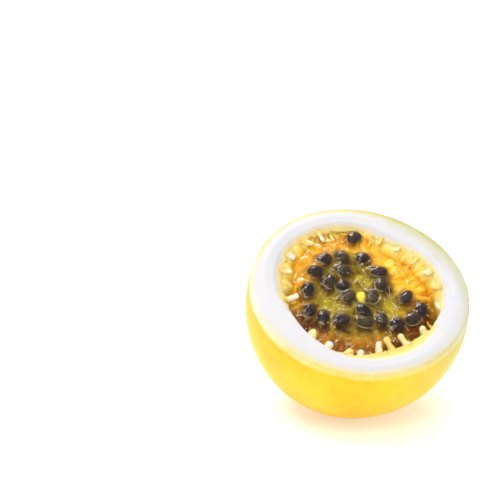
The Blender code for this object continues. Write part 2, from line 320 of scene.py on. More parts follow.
rind = {
    "turnSteps": 300,
    "wallSteps": 56,
    "lipSteps": 20,
    "faceSteps": 24,
    "edgeSteps": 8,
    "skinSteps": 90,
    "edgeRound": 1.2 * mm,
    "faceBulge": 0.35 * mm,  # the pith swells a little where it was cut
    "skinWave": 0.16 * mm,
    "faceWave": 0.10 * mm,
    "wallFold": 0.35 * mm,
    "sunless": 10,  # degrees to the middle of the side that stayed greener
    "lipWidth": (  # (degrees, mm) round the hollow, which slopes in gently where a cushion of lining is
        (0, 2.7), (30, 3.4), (60, 3.4), (90, 3.2), (120, 3.2), (150, 3.4), (180, 3.2), (193, 1.8),
        (205, 0.9), (228, 0.9), (243, 2.2), (255, 3.6), (270, 4.8), (286, 5.2), (300, 4.6),
        (315, 3.0), (328, 1.4), (342, 1.6),
    ),
    "lipDepth": (  # (degrees, mm) that it slopes down
        (0, 1.7), (90, 1.7), (180, 1.8), (193, 1.6), (205, 1.3), (228, 1.3), (243, 1.8), (255, 2.2),
        (286, 2.6), (315, 2.0), (328, 1.2), (342, 1.4),
    ),
    "liningStart": (  # (degrees, mm) from the lip's outer edge, more is further out on the cut face
        (0, -1.8), (30, -1.4), (45, -2.0), (60, -2.8), (75, -1.9), (90, -1.5), (120, -1.5),
        (135, -1.4), (150, -2.2), (165, -2.2), (176, -1.8), (184, -1.4), (191, -2.4), (222, -1.8),
        (238, -1.2), (253, -1.0), (270, -0.8), (300, -0.8), (315, -1.0), (328, -1.6), (340, -1.4),
    ),
    "peel": (  # (degrees, mm) down the outside where the cut has taken the skin's colour off
        (10, 0.9), (40, 0.5), (70, 0.3), (110, 0.2), (140, 0.4), (162, 1.3), (182, 1.8), (200, 1.3),
        (220, 0.9), (245, 0.7), (300, 0.8), (325, 1.1), (345, 1.1),
    ),
    "fullPeel": 3.0 * mm,  # a peel of this much bares the edge to the white pith
    "peelSoft": (0.25 * mm, 1.1 * mm),  # added to its strength and to its reach
    "skinFade": (  # (degrees, mm) over which the skin's colour fades into the white pith
        (0, 5.0), (20, 7.0), (45, 6.6), (70, 4.4), (90, 3.2), (120, 2.0), (160, 2.2), (225, 3.2),
        (270, 2.4), (315, 2.3), (336, 2.6),
    ),
    "greenReach": (20 * mm, 3 * mm),  # down the side, where the green fades and where it is full
    "scarRadius": (2.3 * mm, 1.6 * mm),  # of the dry button where the blossom was: outer, inner
    "buttonRise": (0.7 * mm, 2.0 * mm, 1.1 * mm),  # height, and the radii where it starts and is full
    "buttonDip": (0.35 * mm, 4.0 * mm, 1.8 * mm),  # of the skin round it, the same three
    "sideGreen": 0.58,  # how much of the green is left low on the side
    "skinTones": ((0.52, (0.82, 0.43, 0.014)), (0.68, (0.82, 0.50, 0.019)), (0.88, (0.83, 0.56, 0.034))),
    "greenTone": (0.54, 0.475, 0.095),
    "underTones": ((0.84, 0.74, 0.34), (0.62, 0.62, 0.33)),  # beneath yellow skin and green skin
    "pithTones": ((0.3, (0.745, 0.735, 0.765)), (0.7, (0.78, 0.765, 0.775))),
    "liningTones": (
        (0.0, (0.95, 0.83, 0.53)),
        (0.12, (1.00, 0.78, 0.32)),
        (0.45, (1.00, 0.70, 0.17)),
        (0.90, (0.98, 0.56, 0.06)),
    ),
    "liningReach": 8.0 * mm,  # down the wall, over which those tones run
    "liningEdge": 1.7 * mm,  # over which the lining takes over from the pith
    "scarTones": ((0.35, (0.10, 0.045, 0.018)), (0.65, (0.34, 0.19, 0.07))),
}


def spheroidPoints(radius, pole, top, steps):
    last = math.asin(top / pole)
    return [
        (radius * math.cos(turn), pole * math.sin(turn))
        for turn in (-math.pi / 2 + (last + math.pi / 2) * i / steps for i in range(1, steps + 1))
    ]


def rindProfile(angle):  # (radius, height, way past the lip) from the hollow's pole to the skin's pole
    top = fruit["cutHeight"]
    width = roundTable(rind["lipWidth"], angle) * mm
    depth = roundTable(rind["lipDepth"], angle) * mm
    hollowTop, skinTop = top - depth, top - rind["edgeRound"]
    inner = spheroidPoints(hollowReach, hollowPole, hollowTop, rind["wallSteps"])
    outer = spheroidPoints(fruit["equatorRadius"], fruit["poleRadius"], skinTop, rind["skinSteps"])
    inner = [(radius * roundShare(radius, height, angle), height) for radius, height in inner]
    outline = roundShare(fruit["equatorRadius"], 0, angle)
    outer = [(radius * outline, height) for radius, height in outer]
    lip = []
    for i in range(1, rind["lipSteps"] + 1):
        share = i / rind["lipSteps"]
        lip.append((inner[-1][0] + width * share, hollowTop + depth * smoothStep(0, 1, share)))
    corner = fruit["equatorRadius"] * math.sqrt(1 - (top / fruit["poleRadius"]) ** 2) * outline
    edge = []
    for i in range(rind["edgeSteps"] + 1):  # leaves the cut face level and meets the skin's slope
        share = i / rind["edgeSteps"]
        here, there = (1 - share) ** 2, share * share
        middle = 1 - here - there
        radius = here * (corner - rind["edgeRound"]) + middle * corner + there * outer[-1][0]
        edge.append((radius, (here + middle) * top + there * skinTop))
    face = []
    for i in range(1, rind["faceSteps"]):
        share = i / rind["faceSteps"]
        radius = lip[-1][0] + (edge[0][0] - lip[-1][0]) * share
        face.append((radius, top + rind["faceBulge"] * math.sin(math.pi * share) ** 1.7))
    points = inner + lip + face + edge + outer[-2::-1]
    past, travelled = [], 0.0
    for here, there in zip(points, points[1:]):
        past.append(travelled)
        travelled += math.hypot(there[0] - here[0], there[1] - here[1])
    past.append(travelled)
    start = past[rind["wallSteps"] + rind["lipSteps"] - 1]
    return [(radius, height, along - start) for (radius, height), along in zip(points, past)]


def rindRelief(point, wallShare, skinShare):  # waves on the skin, spongy pith, folds down the wall
    waves = noise.noise(point * 95) + 0.3 * noise.noise(point * 300)
    sponge = noise.noise(point * 420) + 0.5 * noise.noise(point * 1100)
    angle = math.atan2(point.y, point.x)
    around = Vector((math.cos(angle) * 9, math.sin(angle) * 9, point.z * 90))
    folds = noise.noise(around * 1.7) + 0.6 * noise.noise(around * 4.3)
    relief = waves * rind["skinWave"] * skinShare + folds * rind["wallFold"] * wallShare
    return relief + sponge * rind["faceWave"] * (1 - skinShare) * (1 - 0.4 * wallShare)


def buildRind():
    steps = rind["turnSteps"]
    columns = [rindProfile(2 * math.pi * i / steps) for i in range(steps)]
    count = len(columns[0])
    shape = bmesh.new()
    linings, fades, sides, shares, rows = [], [], [], [], []

    def addPoint(radius, height, along, angle, wallShare, skinShare):
        share = math.hypot(radius / fruit["equatorRadius"], height / fruit["poleRadius"])
        share /= roundShare(fruit["equatorRadius"], 0, angle)
        depth = max(0.0, (1 - share) * fruit["equatorRadius"])
        fade = roundTable(rind["skinFade"], angle) * mm
        peel = roundTable(rind["peel"], angle) * mm
        down = max(0.0, fruit["cutHeight"] - rind["edgeRound"] - height)
        stronger, longer = rind["peelSoft"]
        bare = smoothStep(0.0, rind["fullPeel"], peel + stronger) * smoothStep(peel + longer, 0.0, down)
        if wallShare < 0.5:
            depth += bare * max(0.0, fade - depth)
        linings.append(along - roundTable(rind["liningStart"], angle) * mm)
        fades.append(depth / fade)
        side = 0.5 + 0.5 * math.cos(angle - math.radians(rind["sunless"]))
        left = rind["sideGreen"]
        sides.append(side * (left + (1 - left) * smoothStep(*rind["greenReach"], down)))
        shares.append((wallShare, skinShare))
        return shape.verts.new((radius * math.cos(angle), radius * math.sin(angle), height))

    firstPole = addPoint(0, -hollowPole, -1, 0, 1.0, 0.0)
    lipEnd = rind["wallSteps"] + rind["lipSteps"]
    faceEnd = lipEnd + rind["faceSteps"]
    for j in range(count):
        wallShare = smoothStep(lipEnd, rind["wallSteps"], j)
        skinShare = smoothStep(faceEnd - 6, faceEnd + rind["edgeSteps"] + 4, j)
        row = [addPoint(*columns[i][j], 2 * math.pi * i / steps, wallShare, skinShare) for i in range(steps)]
        rows.append(row)
    lastPole = addPoint(0, -fruit["poleRadius"], 1, 0, 0.0, 1.0)
    closeShell(shape, firstPole, rows, lastPole)
    moves = [vertex.normal * rindRelief(vertex.co, *share) for vertex, share in zip(shape.verts, shares)]
    for vertex, move in zip(shape.verts, moves):
        vertex.co += move
    scar = Vector((0, 0, -fruit["poleRadius"]))
    riseHeight, *riseRadii = rind["buttonRise"]
    dipHeight, *dipRadii = rind["buttonDip"]
    scars = []
    for vertex in shape.verts:  # the dry button where the blossom was
        near = (vertex.co - scar).length
        scars.append(smoothStep(*rind["scarRadius"], near + 0.5 * mm * noise.noise(vertex.co * 1200)))
        vertex.co.z += dipHeight * smoothStep(*dipRadii, near) - riseHeight * smoothStep(*riseRadii, near)
    shape.transform(fruitToRow)
    for vertex in shape.verts:
        vertex.co.z = max(vertex.co.z, 0.0)  # the flat spot it rests on
    mesh = bakeShape(shape, "rindShell")
    mesh.shade_smooth()
    setAttribute(mesh, "pastLining", linings)
    setAttribute(mesh, "skinFade", fades)
    setAttribute(mesh, "sunlessSide", sides)
    setAttribute(mesh, "scar", scars)
    return mesh


def rindMaterial():
    material, tree, shader = newMaterial("rindFlesh")
    place = objectCoordinates(tree)
    waver = addMath(tree, "SUBTRACT", addNoise(tree, place, 330, 3.0), 0.5)
    side = addAttribute(tree, "sunlessSide")
    fade = addMath(tree, "MULTIPLY_ADD", waver, 0.28, addAttribute(tree, "skinFade"))
    clouds = addNoise(tree, place, 38, 2.0)
    mottle = addMath(tree, "MULTIPLY_ADD", addNoise(tree, place, 260, 4.0, 0.6), 0.45, clouds)
    skin = addRamp(tree, mottle, *rind["skinTones"])
    lenticels = addGroup(tree, specks, place, Scale=330.0, Size=0.22, Share=0.45)
    skin = addMix(tree, addMath(tree, "MULTIPLY", lenticels, 0.30), skin, (0.92, 0.70, 0.24))
    scuffs = addGroup(tree, specks, place, Scale=75.0, Size=0.10, Share=0.30)
    skin = addMix(tree, addMath(tree, "MULTIPLY", scuffs, 0.35), skin, (0.52, 0.24, 0.05))
    green = addRamp(tree, addMath(tree, "MULTIPLY_ADD", mottle, 0.15, side), (0.58, 0), (1.00, 1))
    skin = addMix(tree, green, skin, rind["greenTone"])
    under = addMix(tree, green, *rind["underTones"])
    rim = addMix(tree, addRamp(tree, fade, (0.06, 0), (0.46, 1)), skin, under)
    pith = addRamp(tree, addNoise(tree, place, 75, 3.0), *rind["pithTones"])
    flesh = addMix(tree, addRamp(tree, fade, (0.30, 0), (0.92, 1)), rim, pith)
    lining = addMath(tree, "MULTIPLY_ADD", waver, 0.0016, addAttribute(tree, "pastLining"))
    inward = addMath(tree, "MULTIPLY", lining, -1 / rind["liningReach"])
    wall = addRamp(tree, inward, *rind["liningTones"])
    start = addMath(tree, "MULTIPLY_ADD", lining, -1 / rind["liningEdge"], 0.5)
    color = addMix(tree, addMath(tree, "MAXIMUM", addMath(tree, "MINIMUM", start, 1.0), 0.0), flesh, wall)
    scar = addRamp(tree, addNoise(tree, place, 1400, 3.0), *rind["scarTones"])
    color = addMix(tree, addAttribute(tree, "scar"), color, scar)
    tree.links.new(color, shader.inputs["Base Color"])
    rough = addRamp(tree, fade, (0.0, 0.40), (0.3, 0.55), (1.0, 0.45))
    tree.links.new(rough, shader.inputs["Roughness"])
    addSubsurface(shader, 0.5, (0.0030, 0.0022, 0.0012))
    shader.inputs["IOR"].default_value = 1.22
    grain = addGroup(tree, fineGrain, place, Scale=1300.0, Detail=4.0, Pitting=0.5)
    addBump(tree, shader, grain, 0.25, 0.0002)
    return material


stalks = {
    "angles": (
        0, 14, 28, 44, 60, 108, 122, 139, 154, 167, 182, 198, 221, 234, 247, 259, 273, 284, 297, 314,
        340,
    ),
    "level": (0.4, 0.62),  # share of the way up the wall from the pulp to the cut
    "rise": 22,  # degrees
    "length": 5.2 * mm,
    "radius": 1.15 * mm,
    "clearance": 3.63 * mm,  # from a seed's middle
    "root": 0.6 * mm,
    "bend": 0.6 * mm,
    "sides": 14,
    "points": 18,
    "roughen": 1.3 * mm,
    "roughenScale": 380.0,
    "tones": (  # from a yellow root to a pale tip
        (0.10, (1.00, 0.62, 0.10)),
        (0.35, (1.00, 0.77, 0.26)),
        (0.65, (0.98, 0.87, 0.54)),
        (1.00, (0.93, 0.88, 0.76)),
    ),
}


def stalkPlaces():
    places = []
    chance = random.Random(5)
    for degrees in stalks["angles"]:
        angle = math.radians(degrees)
        low = pulpHeight(hollowReach * math.cos(angle), hollowReach * math.sin(angle))
        height = low + (fruit["cutHeight"] - low) * chance.uniform(*stalks["level"])
        room = max(0.0, fruit["cutHeight"] - height - stalks["radius"])
        rise = min(math.radians(chance.uniform(0, stalks["rise"])), math.asin(room / stalks["length"]))
        swing = math.radians(chance.uniform(-stalks["rise"], stalks["rise"]))
        place = (
            Matrix.Rotation(angle, 4, "Z")
            @ Matrix.Translation((hollowRadius(height, angle), 0, height))
            @ Matrix.Rotation(math.pi + swing, 4, "Z")
            @ Matrix.Rotation(-rise, 4, "Y")
        )
        along = [place @ Vector((stalks["length"] * i / 3, 0, 0)) for i in range(4)]
        if min((point - seed).length for seed in seedMiddles() for point in along) > stalks["clearance"]:
            places.append(place)
    return places


def stalkPlan():  # (place, length, radius, sway, taper, paleness) of each stalk
    plan = []
    chance = random.Random(8)
    for place in stalkPlaces():
        front = smoothStep(6 * mm, -8 * mm, place.translation.y)  # the ones at the back are slighter
        length = stalks["length"] * chance.uniform(0.5, 1.0) * (0.8 + 0.2 * front)
        radius = stalks["radius"] * chance.uniform(0.55, 1.1) * (0.76 + 0.45 * front)
        sway, taper = chance.uniform(-1.3, 1.3) * mm, chance.uniform(0.0, 0.5)
        plan.append((place, length, radius, sway, taper, chance.random()))
    return plan


def stalkCurves(plan):
    curve = newPaths("stalkPaths")
    last = stalks["points"] - 1
    for place, length, radius, sway, taper, _ in plan:
        for i, point in enumerate(newPath(curve, stalks["points"])):
            along = math.sin(math.pi / 2 * i / last)  # closer together at the round tip
            x = -stalks["root"] + (length + stalks["root"]) * along
            z = stalks["bend"] * (2 * along - 1) ** 2
            y = sway * along**2
            point.co = (*(fruitToRow @ place @ Vector((x, y, z))), 1)
            tip = min(1.0, (length - x) / ((0.6 + 0.8 * taper) * radius))
            cap = math.sqrt(max(0.0, 1 - (1 - tip) ** 2))
            flare = 1 + 0.35 * math.exp(-max(0.0, x) / (0.9 * mm))
            point.radius = max(0.02, cap) * flare * (1.1 - taper * along) * radius / mm
    return curve


def paintStalks(mesh, plan):  # from 0 at a yellow root to 1 at a pale tip
    toPlaces = [(fruitToRow @ place).inverted() for place, *_ in plan]
    pales = []
    for vertex in mesh.vertices:
        spots = [toPlace @ vertex.co for toPlace in toPlaces]
        offs = [math.hypot(spot.y, spot.z) + max(0.0, -spot.x - 3 * mm) for spot in spots]
        index = offs.index(min(offs))
        share = smoothStep(-0.5 * mm, 0.7 * plan[index][1], spots[index].x)
        pales.append(share * (0.18 + 0.82 * plan[index][5]))
    setAttribute(mesh, "paleness", pales)


def newBuildTree(name, inputs):  # Geometry Nodes that end in Realize Instances and Set Material
    tree = bpy.data.node_groups.new(name, "GeometryNodeTree")
    for in_out in ("INPUT", "OUTPUT"):
        tree.interface.new_socket("Geometry", in_out=in_out, socket_type="NodeSocketGeometry")
    for label, value in inputs:
        kind = "NodeSocketInt" if isinstance(value, int) else "NodeSocketFloat"
        tree.interface.new_socket(label, in_out="INPUT", socket_type=kind).default_value = value
    tree.interface.new_socket("Material", in_out="INPUT", socket_type="NodeSocketMaterial")
    given, result = tree.nodes.new("NodeGroupInput"), tree.nodes.new("NodeGroupOutput")
    smooth = tree.nodes.new("GeometryNodeSetShadeSmooth")
    realize = tree.nodes.new("GeometryNodeRealizeInstances")
    paint = tree.nodes.new("GeometryNodeSetMaterial")
    tree.links.new(smooth.outputs["Geometry"], realize.inputs["Geometry"])
    tree.links.new(realize.outputs["Geometry"], paint.inputs["Geometry"])
    tree.links.new(given.outputs["Material"], paint.inputs["Material"])
    tree.links.new(paint.outputs["Geometry"], result.inputs["Geometry"])
    return tree, given, smooth.inputs["Geometry"]


def namedValue(tree, name):
    node = tree.nodes.new("GeometryNodeInputNamedAttribute")
    node.data_type = "FLOAT"
    node.inputs["Name"].default_value = name
    return node.outputs["Attribute"]


def tubeTree():  # sweeps a round section along every path, then roughens it
    inputs = (("Unit Radius", mm), ("Sides", 12), ("Roughen", 0.0), ("Roughen Scale", 600.0))
    tree, given, built = newBuildTree("sweptTube", inputs)
    nodes, links = tree.nodes, tree.links
    circle = nodes.new("GeometryNodeCurvePrimitiveCircle")
    links.new(given.outputs["Sides"], circle.inputs["Resolution"])
    links.new(given.outputs["Unit Radius"], circle.inputs["Radius"])
    sweep = nodes.new("GeometryNodeCurveToMesh")
    sweep.inputs["Fill Caps"].default_value = True
    links.new(given.outputs["Geometry"], sweep.inputs["Curve"])
    links.new(circle.outputs["Curve"], sweep.inputs["Profile Curve"])
    if "Scale" in sweep.inputs:
        links.new(namedValue(tree, "radius"), sweep.inputs["Scale"])
    grain = nodes.new("ShaderNodeTexNoise")
    links.new(given.outputs["Roughen Scale"], grain.inputs["Scale"])
    centred = addMath(tree, "SUBTRACT", grain.outputs["Fac"], 0.5)
    push = nodes.new("ShaderNodeVectorMath")
    push.operation = "SCALE"
    links.new(nodes.new("GeometryNodeInputNormal").outputs[0], push.inputs[0])
    links.new(addMath(tree, "MULTIPLY", centred, given.outputs["Roughen"]), push.inputs["Scale"])
    move = nodes.new("GeometryNodeSetPosition")
    links.new(sweep.outputs["Mesh"], move.inputs["Geometry"])
    links.new(push.outputs[0], move.inputs["Offset"])
    links.new(move.outputs["Geometry"], built)
    return tree


def runTree(source, tree, inputs, name):
    modifier = source.modifiers.new("build", "NODES")
    modifier.node_group = tree
    for item in tree.interface.items_tree:
        if item.in_out == "INPUT" and item.name in inputs:
            modifier[item.identifier] = inputs[item.name]
    mesh = plainMesh(source, name)
    data = source.data
    bpy.data.objects.remove(source)
    if isinstance(data, bpy.types.Curve):
        bpy.data.curves.remove(data)
    return mesh


def stalkMaterial():
    material, tree, shader = newMaterial("stalkFlesh")
    place = objectCoordinates(tree)
    mottle = addNoise(tree, place, 420, 2.0)
    tint = addMath(tree, "MULTIPLY_ADD", mottle, 0.3, addAttribute(tree, "paleness"))
    tree.links.new(addRamp(tree, tint, *stalks["tones"]), shader.inputs["Base Color"])
    setInputs(shader, Roughness=0.3, Coat_Weight=0.4, Coat_Roughness=0.1)
    addSubsurface(shader, 0.5, (0.0020, 0.0012, 0.0005))
    grain = addGroup(tree, fineGrain, place, Scale=1800.0, Detail=3.0, Pitting=0.2)
    addBump(tree, shader, grain, 0.2, 0.0001)
    return material


tubes = tubeTree()


def sweptPiece(name, curve, material, piece):  # tubes along the curve, as the piece's dictionary says
    paths = makeObject(name + "Paths", curve)
    settings = {
        "Unit Radius": mm,
        "Sides": piece["sides"],
        "Roughen": piece["roughen"],
        "Roughen Scale": piece["roughenScale"],
        "Material": material,
    }
    return runTree(paths, tubes, settings, name)


def buildStalks():
    plan = stalkPlan()
    mesh = sweptPiece("rindStalks", stalkCurves(plan), stalkMaterial(), stalks)
    paintStalks(mesh, plan)
    return mesh


seeds = {
    "levels": 3,
    "pitDepth": 0.06 * mm,
    "pitSize": 0.5 * mm,
    "pitEdges": (0.45, 0.05),  # of that size, from its middle: where a pit starts and is deepest
    "evening": (0.5, 6),  # strength and repeats
    "tones": ((0.012, 0.006, 0.009), (0.042, 0.023, 0.025)),
    "veiledTones": ((0.024, 0.014, 0.008), (0.066, 0.044, 0.018)),
    "sunkTone": (0.130, 0.085, 0.014),
    "veiled": (  # deeper in the jelly
        "seed_01", "seed_02", "seed_05", "seed_06", "seed_07", "seed_08", "seed_10",
        "seed_13",
    ),
}


def seedMaterial(name, dark, light):
    material, tree, shader = newMaterial(name)
    place = objectCoordinates(tree)
    color = addRamp(tree, addNoise(tree, place, 500, 3.0), (0.35, dark), (0.65, light))
    sunk = addRamp(tree, addAttribute(tree, "sunk"), (0.25, 0), (0.75, 0.85))
    color = addMix(tree, sunk, color, seeds["sunkTone"])
    tree.links.new(color, shader.inputs["Base Color"])
    setInputs(shader, Roughness=0.3, IOR=1.25)
    grain = addGroup(tree, fineGrain, place, Scale=2200.0, Detail=2.0, Pitting=0.8)
    addBump(tree, shader, grain, 0.2, 0.00008)
    return material


def seedMesh(node, name):
    shape = bmesh.new()
    shape.from_mesh(node.data)
    bmesh.ops.remove_doubles(shape, verts=shape.verts, dist=0.01 * mm)
    cage = makeObject(name + "Cage", bakeShape(shape, name + "Cage"))
    modifier = cage.modifiers.new("round", "SUBSURF")
    modifier.levels = modifier.render_levels = seeds["levels"]
    modifier = cage.modifiers.new("even", "SMOOTH")
    modifier.factor, modifier.iterations = seeds["evening"]
    result = plainMesh(cage, name)
    bpy.data.objects.remove(cage)
    low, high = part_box(node.name)
    middle = (low + high) / 2
    newLow = Vector([min(v.co[i] for v in result.vertices) for i in range(3)])
    newHigh = Vector([max(v.co[i] for v in result.vertices) for i in range(3)])
    grow = max(high - low) / max(newHigh - newLow)
    for vertex in result.vertices:
        vertex.co = middle + (vertex.co - middle) * grow
    moved = []
    for vertex in result.vertices:
        near = noise.voronoi(vertex.co / seeds["pitSize"])[0]
        pit = smoothStep(*seeds["pitEdges"], near[0])
        moved.append(vertex.co - vertex.normal * seeds["pitDepth"] * pit)
    for vertex, place in zip(result.vertices, moved):
        vertex.co = place
    result.shade_smooth()
    up = fruitToRow.to_3x3() @ Vector((0, 0, 1))
    heights = [vertex.co @ up for vertex in result.vertices]  # towards the cut face
    most, least = max(heights), min(heights)
    setAttribute(result, "sunk", [(most - height) / (most - least) for height in heights])
    return result


def seedShapes():  # (middle, long axis, half length, half width, top) of each, in the fruit frame
    shapes = []
    back = fruitToRow.inverted()
    for name in sorted(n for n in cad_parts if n.startswith("seed_")):
        points = [back @ vertex.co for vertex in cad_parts[name].data.vertices]
        middle = sum(points, Vector()) / len(points)
        flat = [point - middle for point in points]
        xx = sum(p.x * p.x for p in flat)
        yy = sum(p.y * p.y for p in flat)
        xy = sum(p.x * p.y for p in flat)
        turn = 0.5 * math.atan2(2 * xy, xx - yy)
        axis = Vector((math.cos(turn), math.sin(turn), 0))
        across = Vector((-axis.y, axis.x, 0))
        shapes.append((
            middle,
            axis,
            max(p.dot(axis) for p in flat),
            max(p.dot(across) for p in flat),
            max(p.z for p in flat),
        ))
    return shapes


def seedMiddles():
    return [shape[0] for shape in seedShapes()]


pulp = {
    "turns": 360,
    "rings": 170,
    "cellSize": 5.4 * mm,  # of one juice sac
    "cellHeight": 0.75 * mm,
    "jellyDrop": 0.35 * mm,  # below the plain dish, for the jelly's surface
    "bedDrop": 1.5 * mm,  # below the plain dish, for the cloudy flesh
    "bedSwell": 0.9 * mm,  # of each sac in the flesh
    "bedStrand": 0.75 * mm,  # of the strands that run in from the wall
    "bedRough": (0.28 * mm, 0.15 * mm),  # coarse, fine
    "coreRise": 1.5 * mm,
    "cushionRough": (0.35 * mm, 0.2 * mm),  # strands, lumps
    "film": 0.22 * mm,  # of jelly over a seed
    "seedMargin": 1.0 * mm,  # that the jelly's mound spreads past a seed
    "seedReach": 7 * mm,  # past which a seed is too far away to matter
    "blend": 0.9 * mm,
    "wrinkle": 0.10 * mm,
    "core": (0.4 * mm, -1.0 * mm, 1.7 * mm, 2.1 * mm),  # the pale bit: place, half widths
    "wallOverlap": 1.0 * mm,
    "bedDepth": 6.0 * mm,  # of the flesh's skirt, which is hidden inside the wall
    "jellyDepth": 2.0 * mm,  # of the jelly's skirt
    "skirt": (1.2 * mm, 0.5 * mm),  # how far below the edge it starts, and what is added to its depth
    "undersideFall": 1.0 * mm,  # from the skirt's end in towards the middle
    "undersideMiddle": 3.0 * mm,  # below the edge, besides the depth
    "amberStart": (  # (degrees, mm from the axis) where olive turns to amber
        (0, 12.5), (45, 12.0), (78, 15.0), (102, 18.0), (124, 14.5), (165, 15.5), (200, 16.5),
        (270, 14.5), (320, 16.0), (345, 14.5),
    ),
    "pale": (  # (degrees, mm) inside the wall where a cushion of pale lining spreads over the pulp
        (0, 3.6), (25, 4.4), (50, 4.8), (68, 3.0), (82, 0.9), (102, 0.6), (120, 2.4), (140, 4.0),
        (168, 4.2), (182, 2.4), (194, 0.4), (235, 0.3), (262, 1.4), (290, 1.8), (315, 0.8), (330, 0.4),
        (345, 2.4),
    ),
    "shadedRecess": (  # (degrees, share) of brown near the wall, partly the pulp's own brown and partly painted shade in the recess under the near rim
        (0, 0.1), (60, 0.05), (98, 0.3), (125, 0.1), (165, 0.2), (185, 0.6), (205, 1.0), (225, 0.85),
        (245, 1.0), (262, 0.9), (280, 0.85), (295, 0.95), (312, 0.85), (328, 1.0), (343, 0.6),
    ),
    "shadedRecessReach": (12.5 * mm, 19.0 * mm),  # from the axis, where that brown and painted shade starts and is full
    "lipShadowReach": (5.8 * mm, 4.0 * mm),  # from the wall, where the darkest brown, a painted shadow under the lip, starts and is full
    "oliveTones": (
        (0.32, (0.15, 0.085, 0.004)),
        (0.44, (0.32, 0.235, 0.010)),
        (0.58, (0.48, 0.40, 0.020)),
        (0.72, (0.80, 0.72, 0.080)),
    ),
    "amberTones": (
        (0.30, (0.80, 0.27, 0.008)),
        (0.43, (1.00, 0.50, 0.016)),
        (0.55, (1.00, 0.66, 0.040)),
        (0.68, (1.00, 0.86, 0.240)),
    ),
    # the pulp's own brown, darkened towards black to paint the shade in the recess
    "brownAndShadeTones": (
        (0.36, (0.09, 0.026, 0.002)),
        (0.49, (0.27, 0.090, 0.005)),
        (0.60, (0.62, 0.270, 0.014)),
        (0.70, (0.90, 0.500, 0.040)),
    ),
    "paleTones": ((0.32, (1.00, 0.54, 0.05)), (0.46, (1.00, 0.69, 0.15)), (0.66, (1.00, 0.79, 0.32))),
    # painted shadow under the near lip
    "lipShadowTone": (0.075, 0.024, 0.003),
    "seedShadeTone": (0.50, 0.40, 0.18),  # painted shade: multiplies the flesh round each seed, as if darkened by the seed in its sac
    "coreTone": (1.0, 0.86, 0.10),
}


def smoothMax(first, second, blend):
    near = max(blend - abs(first - second), 0.0) / blend
    return max(first, second) + near * near * blend * 0.25


def sacs(x, y):  # (dome share, how far from a crease) of the juice sac at a place
    size = pulp["cellSize"]
    bend = noise.noise(Vector((x / size * 0.8, y / size * 0.8, 3.1))) * 0.5
    spread = noise.voronoi(Vector((x / size + bend, y / size - bend, 0.0)))[0]
    return max(0.0, 1 - (spread[0] / 0.75) ** 2), spread[1] - spread[0]


def jellyHeight(x, y, shapes):
    out = math.hypot(x, y) / hollowReach
    dome, crease = sacs(x, y)
    height = pulpHeight(x, y) - pulp["jellyDrop"]
    height += pulp["cellHeight"] * (0.55 * dome + 0.45 * smoothStep(0, 0.22, crease)) * (1 - 0.5 * out**6)
    for middle, axis, length, width, top in shapes:
        dx, dy = x - middle.x, y - middle.y
        if max(abs(dx), abs(dy)) > pulp["seedReach"]:
            continue
        along = (dx * axis.x + dy * axis.y) / (length + pulp["seedMargin"])
        across = (-dx * axis.y + dy * axis.x) / (width + pulp["seedMargin"])
        spread = along * along + across * across
        if spread > 2.2:
            continue
        height = smoothMax(height, middle.z + (top + pulp["film"]) * (1 - 0.72 * spread), pulp["blend"])
    spot = Vector((x, y, 0))
    wrinkle = noise.noise(spot * 900) + 0.6 * noise.noise(spot * 2100 + Vector((5, 2, 1)))
    streak = noise.noise(Vector((x * 330 + y * 120, y * 900 - x * 250, 2.0)))
    return height + pulp["wrinkle"] * (wrinkle + 0.9 * streak)


def cushionShare(x, y):  # from 0 where the lining's cushion starts to 1 at the wall
    angle = math.atan2(y, x)
    wall = hollowRadius(pulpEdge, angle)
    width = roundTable(pulp["pale"], angle) * mm * (1 + 0.5 * ripple(x, y, 260, 7))
    return min(1.0, max(0.0, 1 - (wall - math.hypot(x, y)) / max(width, 0.2 * mm)))


def coreSpread(x, y):  # from 0 at the core's middle to 1 at its outline
    middleX, middleY, halfWidth, halfLength = pulp["core"]
    return math.hypot((x - middleX) / halfWidth, (y - middleY) / halfLength)


def bedHeight(x, y):
    out, angle = math.hypot(x, y) / hollowReach, math.atan2(y, x)
    dome, crease = sacs(x, y)
    rise = 0.8 * smoothStep(0.62, 0.95, out) * (1 - roundTable(pulp["shadedRecess"], angle))
    height = pulpHeight(x, y) - pulp["bedDrop"] * (1 - rise)
    height += pulp["bedSwell"] * (dome - 0.5) * smoothStep(0.02, 0.3, crease) * (1 - 0.6 * out**2)
    strand = noise.noise(Vector((math.cos(angle) * 11, math.sin(angle) * 11, out * 4)))
    strand += 0.6 * noise.noise(Vector((math.cos(angle) * 27, math.sin(angle) * 27, out * 6)))
    height += pulp["bedStrand"] * strand * smoothStep(0.35, 0.8, out)
    height += pulp["coreRise"] * smoothStep(1.6, 0.5, coreSpread(x, y))
    spot = Vector((x, y, 4))
    coarse, fine = pulp["bedRough"]
    height += coarse * noise.noise(spot * 700) + fine * noise.noise(spot * 1600)
    cushion = cushionShare(x, y)
    if cushion > 0:
        depth = roundTable(rind["lipDepth"], angle) * mm
        strands, lumps = pulp["cushionRough"]
        top = fruit["cutHeight"] - depth + strands * strand + lumps * noise.noise(spot * 500)
        height += (top - height) * smoothStep(-0.6, 1.0, cushion)
    return height


